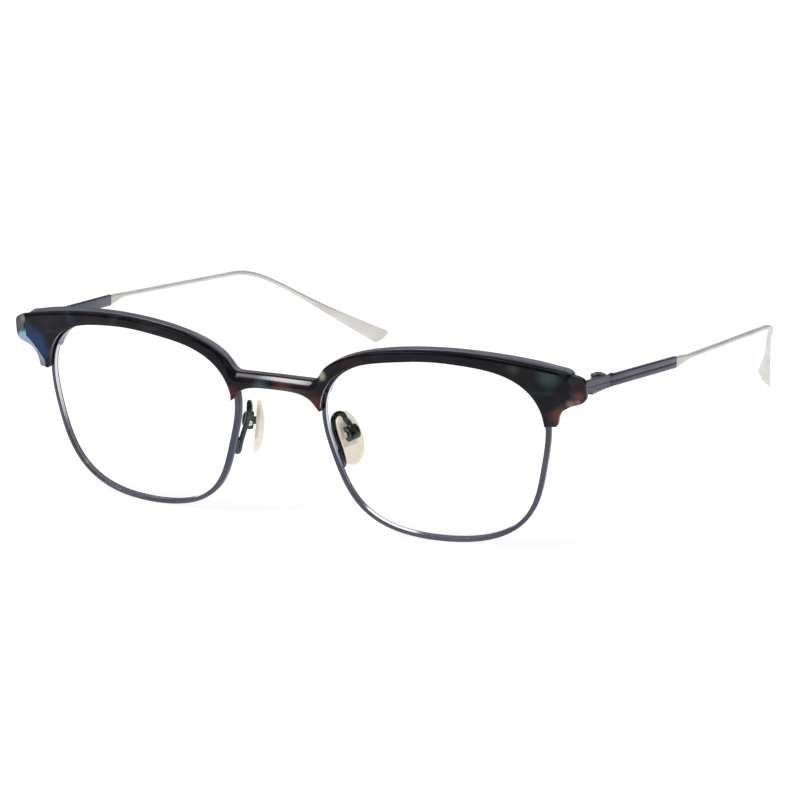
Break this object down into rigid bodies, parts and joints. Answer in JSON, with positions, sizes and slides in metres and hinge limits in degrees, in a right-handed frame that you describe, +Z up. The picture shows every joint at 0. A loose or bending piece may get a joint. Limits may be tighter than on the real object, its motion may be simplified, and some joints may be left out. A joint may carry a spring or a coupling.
{
  "type": "browline eyeglasses",
  "caption": "Metal full-rim browline eyeglasses with a dark acetate brow, folding slim temples and rocking nose pads.",
  "frame": {"origin": "on the table, under the middle of the glasses' outline with the temples open", "axes": "+X to the wearer's left, -Y to the front, +Z up; the lens planes face -Y"},
  "size_m": [0.1392, 0.1556, 0.0422],
  "materials": {
    "acetate": "polished dark tortoise acetate, lighter blue and brown patches",
    "satin_metal": "satin slate-grey plating, polished edges",
    "dark_metal": "dark gunmetal plating, polished",
    "hinge_metal": "brushed grey",
    "screws": "bright turned metal",
    "lens": "clear with an anti-reflection coating",
    "pad_plastic": "clear champagne-tinted plastic, polished",
    "titanium": "pale satin titanium"
  },
  "bodies": {
    "front": {"brow_front": "acetate", "brow_bar": "satin_metal", "rim_left": "satin_metal", "rim_right": "satin_metal", "lens_left": "lens", "lens_right": "lens", "end_piece_left": "satin_metal", "end_piece_right": "satin_metal", "lock_upper_left": "satin_metal", "lock_upper_right": "satin_metal", "lock_lower_left": "satin_metal", "lock_lower_right": "satin_metal", "lock_screws": "screws", "pad_arm_left": "dark_metal", "pad_arm_right": "dark_metal", "pad_box_left": "dark_metal", "pad_box_right": "dark_metal", "pad_screws": "screws", "hinge_front_left": "hinge_metal", "hinge_front_right": "hinge_metal", "hinge_screws": "screws"},
    "temple_left": {"hinge_temple_left": "hinge_metal", "temple_bar_left": "satin_metal", "temple_wire_left": "titanium"},
    "temple_right": {"hinge_temple_right": "hinge_metal", "temple_bar_right": "satin_metal", "temple_wire_right": "titanium"},
    "pad_left": {"nose_pad_left": "pad_plastic", "pad_core_left": "dark_metal"},
    "pad_right": {"nose_pad_right": "pad_plastic", "pad_core_right": "dark_metal"}
  },
  "joints": [
    {"name": "temple_left_fold", "type": "hinge", "parent": "front", "child": "temple_left", "pos_m": [0.064, -0.05715, 0.0347], "axis": [0, 0, 1], "range_deg": [0, 85]},
    {"name": "temple_right_fold", "type": "hinge", "parent": "front", "child": "temple_right", "pos_m": [-0.064, -0.05715, 0.0347], "axis": [0, 0, -1], "range_deg": [0, 79]},
    {"name": "pad_left_rock", "type": "hinge", "parent": "front", "child": "pad_left", "pos_m": [0.012, -0.06515, 0.01985], "axis": [0.4728, 0.8573, 0.2036], "range_deg": [-8, 8]},
    {"name": "pad_right_rock", "type": "hinge", "parent": "front", "child": "pad_right", "pos_m": [-0.012, -0.06515, 0.01985], "axis": [-0.4728, 0.8573, 0.2036], "range_deg": [-8, 8]}
  ]
}
